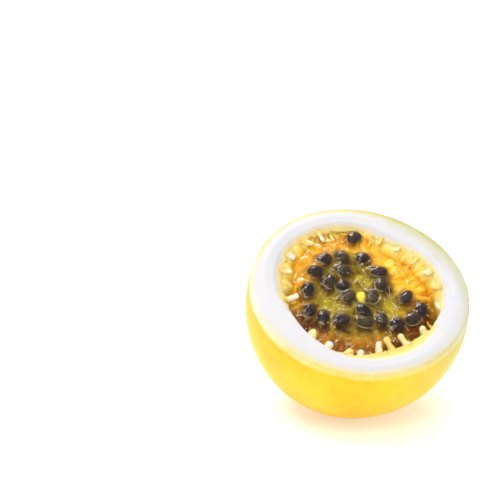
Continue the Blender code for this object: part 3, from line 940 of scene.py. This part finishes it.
def pulpBody(name, surface, wallDepth):  # a closed dish under surface(x, y) that runs into the wall
    turns, rings = pulp["turns"], pulp["rings"]
    skirtStart, skirtDrop = pulp["skirt"]
    skirtEnd = skirtStart + skirtDrop + wallDepth
    shape = bmesh.new()
    edges = []
    for i in range(turns):
        angle = 2 * math.pi * i / turns
        height = pulpHeight(hollowReach * math.cos(angle), hollowReach * math.sin(angle))
        edges.append((angle, hollowRadius(height, angle) + pulp["wallOverlap"], height))

    def addRow(share, heightAt):
        row = []
        for angle, edge, edgeHeight in edges:
            x, y = edge * share * math.cos(angle), edge * share * math.sin(angle)
            row.append(shape.verts.new((x, y, heightAt(x, y, edgeHeight))))
        rows.append(row)

    top = shape.verts.new((0, 0, surface(0, 0)))
    rows = []
    for ring in range(1, rings + 1):
        addRow((ring / rings) ** 0.85, lambda x, y, edgeHeight: surface(x, y))
    for share in (0.25, 0.6, 1.0):  # down the wall
        drop = skirtStart + (skirtDrop + wallDepth) * share
        addRow(1.0, lambda x, y, edgeHeight: edgeHeight - drop)
    for share in (0.66, 0.33):  # in under the dish
        drop = skirtEnd + pulp["undersideFall"] * (1 - share)
        addRow(share, lambda x, y, edgeHeight: edgeHeight - drop)
    base = shape.verts.new((0, 0, pulpEdge - wallDepth - pulp["undersideMiddle"]))
    closeShell(shape, top, rows, base)
    return bakeShape(shape, name)


def jellyBody(name, shapes):
    return pulpBody(name, lambda x, y: jellyHeight(x, y, shapes), pulp["jellyDepth"])


def seedGap(x, y, shapes):  # mm from the nearest seed's outline, less than 0 over a seed
    gaps = []
    for middle, axis, length, width, _ in shapes:
        dx, dy = x - middle.x, y - middle.y
        along, across = (dx * axis.x + dy * axis.y) / length, (-dx * axis.y + dy * axis.x) / width
        gaps.append((math.hypot(along, across) - 1) * width)
    return min(gaps) / mm


def paintPulp(mesh, shapes):  # masks of each colour, some of them painted shade, and the coordinates that streaks run along
    masks = {name: [] for name in ("amber", "brownAndShade", "pale", "core", "seedShade", "lipShadow")}
    streaks = []
    for vertex in mesh.vertices:
        x, y = vertex.co.x, vertex.co.y
        out, angle = math.hypot(x, y), math.atan2(y, x)
        shadedRecess = roundTable(pulp["shadedRecess"], angle)
        start = roundTable(pulp["amberStart"], angle) * mm + 2.6 * mm * ripple(x, y, 160, 1)
        gap = hollowRadius(pulpEdge, angle) - out + 0.9 * mm * ripple(x, y, 380, 5)
        spot = coreSpread(x, y) + 0.4 * ripple(x, y, 900, 3)
        masks["amber"].append(smoothStep(start - 1.8 * mm, start + 2.6 * mm, out))
        # brown near the wall, partly painted shade of the recess
        masks["brownAndShade"].append(shadedRecess * smoothStep(*pulp["shadedRecessReach"], out))
        # painted shadow just inside the wall, under the lip
        masks["lipShadow"].append(smoothStep(*pulp["lipShadowReach"], gap) * shadedRecess**3)
        masks["pale"].append(smoothStep(0.0, 0.5, cushionShare(x, y)))
        masks["core"].append(smoothStep(1.15, 0.7, spot))
        # painted shade round each seed
        masks["seedShade"].append(smoothStep(1.7, 0.1, seedGap(x, y, shapes) + 0.9 * ripple(x, y, 420, 9)))
        streaks.extend((math.cos(angle) * 8, math.sin(angle) * 8, out * 120))
    for name, values in masks.items():
        setAttribute(mesh, name, values)
    layer = mesh.attributes.new("streak", "FLOAT_VECTOR", "POINT")
    layer.data.foreach_set("vector", streaks)


def bedMaterial():
    material, tree, shader = newMaterial("pulpFlesh")
    place = objectCoordinates(tree)
    streakNode = tree.nodes.new("ShaderNodeAttribute")
    streakNode.attribute_name = "streak"
    streak = addNoise(tree, streakNode.outputs["Vector"], 1.6, 3.0, 0.6)
    blotch = addNoise(tree, place, 190, 3.0, 0.55, 0.6)
    olive = addRamp(tree, blotch, *pulp["oliveTones"])
    amber = addRamp(tree, addMix(tree, 0.35, streak, blotch), *pulp["amberTones"])
    color = addMix(tree, addAttribute(tree, "amber"), olive, amber)
    # brown, partly the pulp's own and partly painted shade of the recess
    brownAndShade = addRamp(tree, addMix(tree, 0.5, streak, blotch), *pulp["brownAndShadeTones"])
    color = addMix(tree, addAttribute(tree, "brownAndShade"), color, brownAndShade)
    # painted shadow under the lip
    lipShadow = addMath(tree, "MULTIPLY", addAttribute(tree, "lipShadow"), 0.8)
    color = addMix(tree, lipShadow, color, pulp["lipShadowTone"])
    # painted shade round each seed
    seedShade = addMix(tree, 1.0, color, pulp["seedShadeTone"], "MULTIPLY")
    color = addMix(tree, addAttribute(tree, "seedShade"), color, seedShade)
    color = addMix(tree, addAttribute(tree, "core"), color, pulp["coreTone"])
    fine = addNoise(tree, place, 620, 3.0, 0.6)
    shade = addRamp(tree, fine, (0.32, (0.70, 0.62, 0.50)), (0.55, 1))
    color = addMix(tree, 0.45, color, shade, "MULTIPLY")
    color = addMix(tree, addAttribute(tree, "pale"), color, addRamp(tree, streak, *pulp["paleTones"]))
    tree.links.new(color, shader.inputs["Base Color"])
    setInputs(shader, Roughness=0.35, IOR=1.2)
    addSubsurface(shader, 0.45, (0.0028, 0.0016, 0.0005))
    grain = addGroup(tree, fineGrain, place, Scale=620.0, Detail=3.0, Pitting=0.1)
    addBump(tree, shader, grain, 0.3, 0.0003)
    return material


def jellyMaterial():
    material, tree, shader = newMaterial("pulpJelly")
    setInputs(shader, Base_Color=(1.0, 0.96, 0.80, 1.0), Transmission_Weight=1.0, Roughness=0.05, IOR=1.36)
    wrinkle = addNoise(tree, objectCoordinates(tree), 900, 3.0, 0.6, 1.2)
    addBump(tree, shader, wrinkle, 0.25, 0.0003)
    clear = tree.nodes.new("ShaderNodeBsdfTransparent")  # lets light through to the flesh
    setInputs(clear, Color=(1.0, 0.97, 0.85, 1.0))
    path = tree.nodes.new("ShaderNodeLightPath")
    mix = tree.nodes.new("ShaderNodeMixShader")
    tree.links.new(path.outputs["Is Shadow Ray"], mix.inputs["Fac"])
    tree.links.new(shader.outputs[0], mix.inputs[1])
    tree.links.new(clear.outputs[0], mix.inputs[2])
    output = tree.nodes["Material Output"]
    tree.links.new(mix.outputs[0], output.inputs["Surface"])
    volume = tree.nodes.new("ShaderNodeVolumeAbsorption")
    setInputs(volume, Color=(0.98, 0.84, 0.30, 1.0), Density=90.0)
    tree.links.new(volume.outputs[0], output.inputs["Volume"])
    return material


fibres = {
    "count": 80,
    "sides": 6,
    "spread": 21 * mm,  # from the axis
    "radius": (0.05, 0.12),  # mm
    "length": (1.5, 4.0),  # mm
    "seedMargin": (0.75 * mm, 0.65 * mm),  # past a seed's end and side, for the ones round the seeds
    "clearance": 0.15,  # mm from a seed, for the others
    "lift": 0.02 * mm,
    "roughen": 0.05 * mm,
    "roughenScale": 700.0,
    "tones": ((0.40, (0.42, 0.30, 0.07)), (0.66, (0.80, 0.68, 0.38))),
}

tufts = {
    "count": 230,
    "sides": 10,
    "radius": (0.35, 0.8),  # mm
    "length": (1.5, 4.6),  # mm
    "clearance": 0.2,  # mm from a seed
    "foot": 25 * mm,  # from the axis, where the pulp's height is taken
    "rise": (0.0, 0.35),  # share of the way up from there to the cut
    "topGap": 1.8 * mm,  # below the cut at least
    "root": 0.6 * mm,  # inside the wall
    "sag": 3.5 * mm,
    "sparse": (  # (degrees, share) of them that grow there
        (0, 0.5), (60, 0.5), (78, 0.3), (95, 0.8), (125, 0.8), (150, 0.25), (180, 0.1), (205, 0.1),
        (245, 0.4), (262, 1.0), (320, 1.0), (335, 0.3),
    ),
    "roughen": 0.3 * mm,
    "roughenScale": 700.0,
    "tones": ((0.32, (0.90, 0.42, 0.03)), (0.5, (0.98, 0.64, 0.09)), (0.66, (1.00, 0.80, 0.28))),
}


def fibreCurves(shapes):  # thin torn skins of the sacs, lying on the jelly
    curve = newPaths("fibrePaths")
    chance = random.Random(31)
    for index in range(fibres["count"]):
        angle = chance.uniform(0, 2 * math.pi)
        out = math.sqrt(chance.uniform(0, 1)) * fibres["spread"]
        x, y = out * math.cos(angle), out * math.sin(angle)
        heading = chance.uniform(0, 2 * math.pi)
        bend = chance.uniform(-0.7, 0.7) / mm * 0.35
        length = chance.uniform(*fibres["length"]) * mm
        radius = chance.uniform(*fibres["radius"])
        points = []
        if index < len(shapes):  # one round the side of each seed
            middle, axis, half, width, _ = shapes[index]
            start = chance.uniform(0, 2 * math.pi)
            turnBy = chance.uniform(0.5, 2.6)
            for i in range(14):
                turn = start + turnBy * i / 13
                px = (half + fibres["seedMargin"][0]) * math.cos(turn)
                py = (width + fibres["seedMargin"][1]) * math.sin(turn)
                points.append((middle.x + px * axis.x - py * axis.y, middle.y + px * axis.y + py * axis.x))
        else:
            for _ in range(12):
                points.append((x, y))
                step = length / 11
                x += step * math.cos(heading)
                y += step * math.sin(heading)
                heading += bend * step
            if min(seedGap(*point, shapes) for point in points) < fibres["clearance"]:
                continue
        for i, (point, (px, py)) in enumerate(zip(newPath(curve, len(points)), points)):
            share = i / (len(points) - 1)
            height = jellyHeight(px, py, shapes) + fibres["lift"]
            point.co = (*(fruitToRow @ Vector((px, py, height))), 1)
            point.radius = radius * (0.25 + 0.75 * math.sin(math.pi * share) ** 0.6)
    return curve


def tuftCurves(shapes):  # short soft strands that hang from the lining over the pulp's edge
    curve = newPaths("tuftPaths")
    chance = random.Random(12)
    for _ in range(tufts["count"]):
        angle = chance.uniform(0, 2 * math.pi)
        low = pulpHeight(tufts["foot"] * math.cos(angle), tufts["foot"] * math.sin(angle))
        height = low + chance.uniform(*tufts["rise"]) * (fruit["cutHeight"] - low)
        height = min(height, fruit["cutHeight"] - tufts["topGap"])
        reach = hollowRadius(height, angle) + tufts["root"]
        length = chance.uniform(*tufts["length"]) * mm
        radius = chance.uniform(*tufts["radius"])
        swing = chance.uniform(-0.5, 0.5)
        if chance.random() > roundTable(tufts["sparse"], angle):
            continue
        tip = reach - length
        if seedGap(tip * math.cos(angle), tip * math.sin(angle), shapes) < radius + tufts["clearance"]:
            continue
        for i, point in enumerate(newPath(curve, 10)):
            share = i / 9
            out, heading = reach - length * share, angle + swing * share * 0.2
            x, y = out * math.cos(heading), out * math.sin(heading)
            floor = jellyHeight(x, y, shapes) - radius * (0.35 + 0.75 * share) * mm
            z = max(height - tufts["sag"] * share, floor)
            point.co = (*(fruitToRow @ Vector((x, y, z))), 1)
            point.radius = radius * (1.15 - 0.35 * share) * math.sqrt(max(0.01, 1 - share**6))
    return curve


def strandMaterial(name, tones, scale):
    material, tree, shader = newMaterial(name)
    tint = addNoise(tree, objectCoordinates(tree), scale, 2.0)
    tree.links.new(addRamp(tree, tint, *tones), shader.inputs["Base Color"])
    return material, shader


def fibreMaterial():
    material, shader = strandMaterial("sacSkins", fibres["tones"], 140)
    setInputs(shader, Roughness=0.2, Coat_Weight=0.5, Coat_Roughness=0.08)
    addSubsurface(shader, 0.3, (0.0010, 0.0008, 0.0004))
    return material


def tuftMaterial():
    material, shader = strandMaterial("liningTufts", tufts["tones"], 170)
    setInputs(shader, Roughness=0.3, Coat_Weight=0.4, Coat_Roughness=0.1)
    addSubsurface(shader, 0.4, (0.0020, 0.0012, 0.0004))
    return material


bubbles = {
    "perSquareMetre": 350000.0,
    "radius": (0.09 * mm, 0.28 * mm),
    "beadFaces": (8, 5),  # round a bead, and from pole to pole
    "reach": 22.5 * mm,  # from the axis
    "seed": 6,
    "tones": ((0.40, (0.90, 0.66, 0.16)), (0.60, (0.95, 0.86, 0.55))),
}


def bubbleTree():  # scatters small round beads over a surface, as thickly as its "bubbly" says
    inputs = (("Density", 50000.0), ("Smallest", 0.1 * mm), ("Largest", 0.2 * mm), ("Seed", 1))
    tree, given, built = newBuildTree("bubbleScatter", inputs)
    nodes, links = tree.nodes, tree.links
    density = addMath(tree, "MULTIPLY", namedValue(tree, "bubbly"), given.outputs["Density"])
    scatter = nodes.new("GeometryNodeDistributePointsOnFaces")
    links.new(given.outputs["Geometry"], scatter.inputs["Mesh"])
    links.new(density, scatter.inputs["Density"])
    links.new(given.outputs["Seed"], scatter.inputs["Seed"])
    bead = nodes.new("GeometryNodeMeshUVSphere")
    setInputs(bead, Radius=1.0, Segments=bubbles["beadFaces"][0], Rings=bubbles["beadFaces"][1])
    size = nodes.new("FunctionNodeRandomValue")
    size.data_type = "FLOAT"
    links.new(given.outputs["Smallest"], size.inputs[2])
    links.new(given.outputs["Largest"], size.inputs[3])
    links.new(given.outputs["Seed"], size.inputs["Seed"])
    place = nodes.new("GeometryNodeInstanceOnPoints")
    links.new(scatter.outputs["Points"], place.inputs["Points"])
    links.new(bead.outputs["Mesh"], place.inputs["Instance"])
    links.new(size.outputs[1], place.inputs["Scale"])
    links.new(place.outputs["Instances"], built)
    return tree


def bubbleMaterial():
    material, tree, shader = newMaterial("bubbleSkin")
    tint = addNoise(tree, objectCoordinates(tree), 300, 1.0)
    tree.links.new(addRamp(tree, tint, *bubbles["tones"]), shader.inputs["Base Color"])
    setInputs(shader, Roughness=0.08, Coat_Weight=0.6, Coat_Roughness=0.05)
    return material


def buildBubbles(shapes):
    surface = jellyBody("bubblePaths", shapes)
    bubbly = []
    for vertex in surface.vertices:
        x, y = vertex.co.x, vertex.co.y
        top = vertex.co.z > pulpHeight(x, y) - 1.0 * mm and cushionShare(x, y) == 0
        top = top and math.hypot(x, y) < bubbles["reach"] and seedGap(x, y, shapes) > 0.1
        bubbly.append(smoothStep(0.02, 0.30, ripple(x, y, 210, 17)) if top else 0.0)
    setAttribute(surface, "bubbly", bubbly)
    surface.transform(fruitToRow)
    source = makeObject("bubbleSource", surface)
    settings = {
        "Density": bubbles["perSquareMetre"],
        "Smallest": bubbles["radius"][0],
        "Largest": bubbles["radius"][1],
        "Seed": bubbles["seed"],
        "Material": bubbleMaterial(),
    }
    return runTree(source, bubbleTree(), settings, "jellyBubbles")


view = {
    "sensor": 36,  # mm
    "place": (-0.11745, -0.40528, 0.18776),
    "target": (-0.0313, 0.0125, 0.0510),
    "fieldOfView": 20,
}


def aim(piece, place, target):
    piece.location = place
    direction = Vector(target) - Vector(place)
    piece.rotation_euler = direction.to_track_quat("-Z", "Y").to_euler()


def makeCamera():
    lens = bpy.data.cameras.new("camera")
    lens.sensor_width = view["sensor"]
    lens.lens = view["sensor"] / 2 / math.tan(math.radians(view["fieldOfView"] / 2))
    lens.clip_start, lens.clip_end = 0.01, 20
    camera = makeObject("camera", lens)
    aim(camera, view["place"], view["target"])
    scene.camera = camera


worldStrength = (0.45, 1.05)  # on the fruit, and as a background
lights = (  # name, place, size, power, colour
    ("key", (-0.35, -0.75, 0.95), 0.45, 3.4, (1.0, 0.98, 0.96)),
    ("fill", (0.85, -0.35, 0.60), 0.50, 0.45, (1.0, 1.0, 1.0)),
    ("back", (0.25, 0.85, 0.80), 0.35, 1.2, (1.0, 1.0, 1.0)),
    ("spark", (0.0, 0.30, 0.75), 0.21, 2.6, (1.0, 1.0, 1.0)),
    ("sparkLeft", (-0.42, 0.02, 0.70), 0.18, 1.5, (1.0, 1.0, 1.0)),
)


def makeLights():
    for name, place, size, power, color in lights:
        lamp = bpy.data.lights.new(name, "AREA")
        lamp.shape = "SQUARE"
        lamp.size = size
        lamp.energy = power
        lamp.color = color
        aim(makeObject(name, lamp), place, (0, 0, 0.03))
    world = bpy.data.worlds.new("studio")
    scene.world = world
    world.use_nodes = True
    tree = world.node_tree
    background = tree.nodes["Background"]
    setInputs(background, Color=(1, 1, 1, 1))
    path = tree.nodes.new("ShaderNodeLightPath")
    strength = tree.nodes.new("ShaderNodeMapRange")
    setInputs(strength, To_Min=worldStrength[0], To_Max=worldStrength[1])
    tree.links.new(path.outputs["Is Camera Ray"], strength.inputs["Value"])
    tree.links.new(strength.outputs["Result"], background.inputs["Strength"])


floorGlow = {  # painted glow: the table glows, less so under the fruit, which paints a soft shade there
    "From_Min": 0.016,  # metres from the origin
    "From_Max": 0.052,
    "To_Min": 0.37,
    "To_Max": 0.80,
}


def makeFloor():
    shape = bmesh.new()
    bmesh.ops.create_grid(shape, x_segments=1, y_segments=1, size=6)
    mesh = bakeShape(shape, "floor")
    material, tree, shader = newMaterial("floorPaint")
    setInputs(shader, Base_Color=(0.90, 0.90, 0.90, 1), Roughness=0.6, Emission_Strength=1.0)
    reach = tree.nodes.new("ShaderNodeVectorMath")
    reach.operation = "LENGTH"
    tree.links.new(objectCoordinates(tree), reach.inputs[0])
    # painted glow, dimmer near the fruit as a painted shadow
    glow = tree.nodes.new("ShaderNodeMapRange")
    glow.interpolation_type = "SMOOTHSTEP"
    setInputs(glow, **floorGlow)
    tree.links.new(reach.outputs["Value"], glow.inputs["Value"])
    tree.links.new(glow.outputs["Result"], shader.inputs["Emission Color"])
    floor = makeObject("floor", mesh, material)


makeCamera()
makeLights()
makeFloor()
print("camera, floor and lights are in place")

rindShell = makeObject("rindShell", buildRind(), rindMaterial())
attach(rindShell, "root")
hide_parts("rind")
print("rind:", len(rindShell.data.polygons), "faces")

rindStalks = makeObject("rindStalks", buildStalks())
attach(rindStalks, "root")
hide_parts("rind")
print("stalks:", len(rindStalks.data.polygons), "faces")

seedCoats = (
    seedMaterial("seedCoat", *seeds["tones"]),
    seedMaterial("seedCoatVeiled", *seeds["veiledTones"]),
)
for nodeName in sorted(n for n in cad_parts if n.startswith("seed_")):
    pieceName = "pitted_" + nodeName
    coat = seedCoats[nodeName in seeds["veiled"]]
    seed = makeObject(pieceName, seedMesh(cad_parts[nodeName], pieceName), coat)
    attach(seed, "root")
    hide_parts(nodeName)
print("seeds are pitted")

shapes = seedShapes()
bedMesh = pulpBody("pulpBed", bedHeight, pulp["bedDepth"])
paintPulp(bedMesh, shapes)
bedMesh.transform(fruitToRow)
bedMesh.shade_smooth()
bed = makeObject("pulpBed", bedMesh, bedMaterial())
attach(bed, "root")
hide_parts("pulp")
print("pulp bed:", len(bed.data.polygons), "faces")

jellyMesh = jellyBody("pulpJelly", shapes)
jellyMesh.transform(fruitToRow)
jellyMesh.shade_smooth()
jelly = makeObject("pulpJelly", jellyMesh, jellyMaterial())
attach(jelly, "root")
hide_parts("pulp")
print("pulp jelly:", len(jelly.data.polygons), "faces")

strandMesh = sweptPiece("sacFibres", fibreCurves(shapes), fibreMaterial(), fibres)
strands = makeObject("sacFibres", strandMesh)
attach(strands, "root")
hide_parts("pulp")
print("fibres:", len(strands.data.polygons), "faces")

bubblePiece = makeObject("jellyBubbles", buildBubbles(shapes))
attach(bubblePiece, "root")
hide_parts("pulp")
print("bubbles:", len(bubblePiece.data.polygons), "faces")

tuftMesh = sweptPiece("liningTufts", tuftCurves(shapes), tuftMaterial(), tufts)
tuftPiece = makeObject("liningTufts", tuftMesh)
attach(tuftPiece, "root")
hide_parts("rind")
print("tufts:", len(tuftPiece.data.polygons), "faces")
